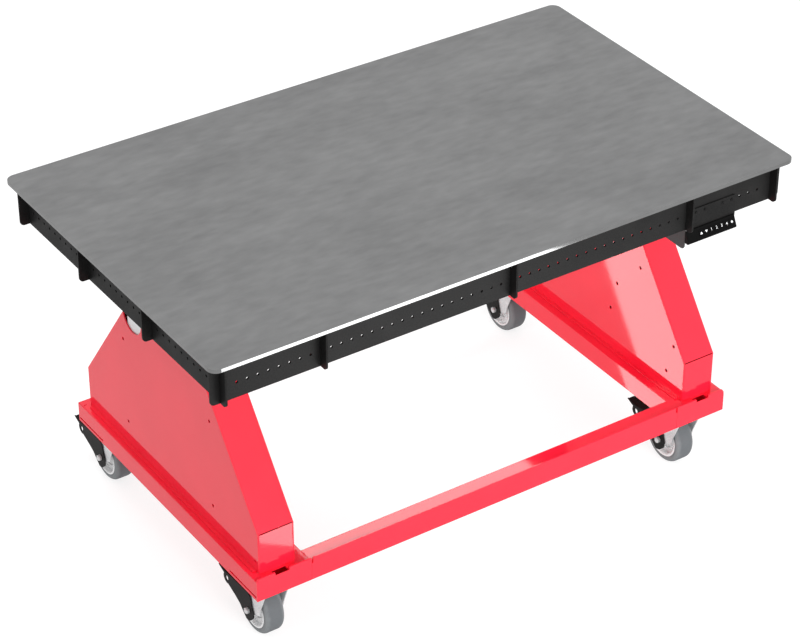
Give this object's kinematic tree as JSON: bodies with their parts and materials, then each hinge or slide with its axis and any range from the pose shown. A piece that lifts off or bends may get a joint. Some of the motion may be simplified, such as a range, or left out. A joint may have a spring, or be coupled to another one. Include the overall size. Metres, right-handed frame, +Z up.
{
  "type": "adjustable height welding table",
  "caption": "Height-adjustable welding table: steel plate on a grid of drilled ribs, carried by telescopic lift columns in red sheet pedestals on a wheeled base, with a handset in front.",
  "frame": {"origin": "on the floor, under the middle of the table top", "axes": "+X along the table's length to the right, +Y to the back, +Z up; the handset is at the front, on the right"},
  "size_m": [1.524, 0.9639, 0.8515],
  "materials": {
    "plate_steel": "bare ground steel plate with fine streaks along its length",
    "black_paint": "satin black powder coat",
    "red_paint": "glossy red powder coat",
    "column_grey": "light grey paint",
    "motor_grey": "light grey cast housing",
    "sheet_grey": "dark grey painted sheet",
    "black_plastic": "matte black moulded plastic",
    "zinc": "bright zinc plate",
    "wheel_white": "off-white moulded plastic",
    "grey_rubber": "grey non-marking rubber"
  },
  "bodies": {
    "base": {"left_rail": "red_paint", "left_pedestal_shell": "red_paint", "left_pedestal_cover": "red_paint", "left_outer_tube": "column_grey", "left_lift_motor": "motor_grey", "right_rail": "red_paint", "right_pedestal_shell": "red_paint", "right_pedestal_cover": "red_paint", "right_outer_tube": "column_grey", "right_lift_motor": "motor_grey", "front_beam": "red_paint", "rear_beam": "red_paint", "front_left_caster_plate": "zinc", "front_right_caster_plate": "zinc", "rear_left_caster_plate": "zinc", "rear_right_caster_plate": "zinc"},
    "left_middle": {"left_middle_tube": "column_grey"},
    "right_middle": {"right_middle_tube": "column_grey"},
    "top": {"table_top": "plate_steel", "front_rib": "black_paint", "front_inner_rib": "black_paint", "rear_inner_rib": "black_paint", "rear_rib": "black_paint", "left_end_rib": "black_paint", "left_rib": "black_paint", "centre_rib": "black_paint", "right_rib": "black_paint", "right_end_rib": "black_paint", "left_inner_tube": "column_grey", "left_head_plate": "black_paint", "right_inner_tube": "column_grey", "right_head_plate": "black_paint", "control_plate": "sheet_grey", "control_box": "black_plastic", "handset_bracket": "black_paint", "handset_case": "black_plastic"},
    "up_button": {"up_button": "black_plastic"},
    "down_button": {"down_button": "black_plastic"},
    "preset_1_button": {"preset_1_button": "black_plastic"},
    "preset_2_button": {"preset_2_button": "black_plastic"},
    "preset_3_button": {"preset_3_button": "black_plastic"},
    "preset_4_button": {"preset_4_button": "black_plastic"},
    "memory_button": {"memory_button": "black_plastic"},
    "front_left_caster": {"front_left_fork": "zinc"},
    "front_left_wheel": {"front_left_hub": "wheel_white", "front_left_tyre": "grey_rubber"},
    "front_left_pedal": {"front_left_pedal": "black_paint"},
    "front_right_caster": {"front_right_fork": "zinc"},
    "front_right_wheel": {"front_right_hub": "wheel_white", "front_right_tyre": "grey_rubber"},
    "front_right_pedal": {"front_right_pedal": "black_paint"},
    "rear_left_caster": {"rear_left_fork": "zinc"},
    "rear_left_wheel": {"rear_left_hub": "wheel_white", "rear_left_tyre": "grey_rubber"},
    "rear_left_pedal": {"rear_left_pedal": "black_paint"},
    "rear_right_caster": {"rear_right_fork": "zinc"},
    "rear_right_wheel": {"rear_right_hub": "wheel_white", "rear_right_tyre": "grey_rubber"},
    "rear_right_pedal": {"rear_right_pedal": "black_paint"}
  },
  "joints": [
    {"name": "lift", "type": "slide", "parent": "base", "child": "top", "axis": [0, 0, 1], "range_m": [0, 0.4]},
    {"name": "left_middle_lift", "type": "slide", "parent": "base", "child": "left_middle", "axis": [0, 0, 1], "range_m": [0, 0.2]},
    {"name": "right_middle_lift", "type": "slide", "parent": "base", "child": "right_middle", "axis": [0, 0, 1], "range_m": [0, 0.2]},
    {"name": "up_press", "type": "slide", "parent": "top", "child": "up_button", "axis": [0, 0.8978, -0.4404], "range_m": [0, 0.0006], "stiffness_N_per_m": 200},
    {"name": "down_press", "type": "slide", "parent": "top", "child": "down_button", "axis": [0, 0.8978, -0.4404], "range_m": [0, 0.0006], "stiffness_N_per_m": 200},
    {"name": "preset_1_press", "type": "slide", "parent": "top", "child": "preset_1_button", "axis": [0, 0.8978, -0.4404], "range_m": [0, 0.0006], "stiffness_N_per_m": 200},
    {"name": "preset_2_press", "type": "slide", "parent": "top", "child": "preset_2_button", "axis": [0, 0.8978, -0.4404], "range_m": [0, 0.0006], "stiffness_N_per_m": 200},
    {"name": "preset_3_press", "type": "slide", "parent": "top", "child": "preset_3_button", "axis": [0, 0.8978, -0.4404], "range_m": [0, 0.0006], "stiffness_N_per_m": 200},
    {"name": "preset_4_press", "type": "slide", "parent": "top", "child": "preset_4_button", "axis": [0, 0.8978, -0.4404], "range_m": [0, 0.0006], "stiffness_N_per_m": 200},
    {"name": "memory_press", "type": "slide", "parent": "top", "child": "memory_button", "axis": [0, 0.8978, -0.4404], "range_m": [0, 0.0006], "stiffness_N_per_m": 200},
    {"name": "front_left_swivel", "type": "hinge", "parent": "base", "child": "front_left_caster", "pos_m": [-0.57785, -0.34175, 0], "axis": [0, 0, 1], "continuous": true},
    {"name": "front_left_roll", "type": "hinge", "parent": "front_left_caster", "child": "front_left_wheel", "pos_m": [-0.57785, -0.30375, 0.0635], "axis": [1, 0, 0], "continuous": true},
    {"name": "front_left_brake", "type": "hinge", "parent": "front_left_caster", "child": "front_left_pedal", "pos_m": [-0.57785, -0.30375, 0.0635], "axis": [1, 0, 0], "range_deg": [-18, 0]},
    {"name": "front_right_swivel", "type": "hinge", "parent": "base", "child": "front_right_caster", "pos_m": [0.57785, -0.34175, 0], "axis": [0, 0, 1], "continuous": true},
    {"name": "front_right_roll", "type": "hinge", "parent": "front_right_caster", "child": "front_right_wheel", "pos_m": [0.57785, -0.30375, 0.0635], "axis": [1, 0, 0], "continuous": true},
    {"name": "front_right_brake", "type": "hinge", "parent": "front_right_caster", "child": "front_right_pedal", "pos_m": [0.57785, -0.30375, 0.0635], "axis": [1, 0, 0], "range_deg": [-18, 0]},
    {"name": "rear_left_swivel", "type": "hinge", "parent": "base", "child": "rear_left_caster", "pos_m": [-0.57785, 0.34175, 0], "axis": [0, 0, 1], "continuous": true},
    {"name": "rear_left_roll", "type": "hinge", "parent": "rear_left_caster", "child": "rear_left_wheel", "pos_m": [-0.57785, 0.37975, 0.0635], "axis": [1, 0, 0], "continuous": true},
    {"name": "rear_left_brake", "type": "hinge", "parent": "rear_left_caster", "child": "rear_left_pedal", "pos_m": [-0.57785, 0.37975, 0.0635], "axis": [1, 0, 0], "range_deg": [-18, 0]},
    {"name": "rear_right_swivel", "type": "hinge", "parent": "base", "child": "rear_right_caster", "pos_m": [0.57785, 0.34175, 0], "axis": [0, 0, 1], "continuous": true},
    {"name": "rear_right_roll", "type": "hinge", "parent": "rear_right_caster", "child": "rear_right_wheel", "pos_m": [0.57785, 0.37975, 0.0635], "axis": [1, 0, 0], "continuous": true},
    {"name": "rear_right_brake", "type": "hinge", "parent": "rear_right_caster", "child": "rear_right_pedal", "pos_m": [0.57785, 0.37975, 0.0635], "axis": [1, 0, 0], "range_deg": [-18, 0]}
  ],
  "couplings": [
    {"joint": "left_middle_lift", "follows": "lift", "ratio": 0.5},
    {"joint": "right_middle_lift", "follows": "lift", "ratio": 0.5}
  ]
}
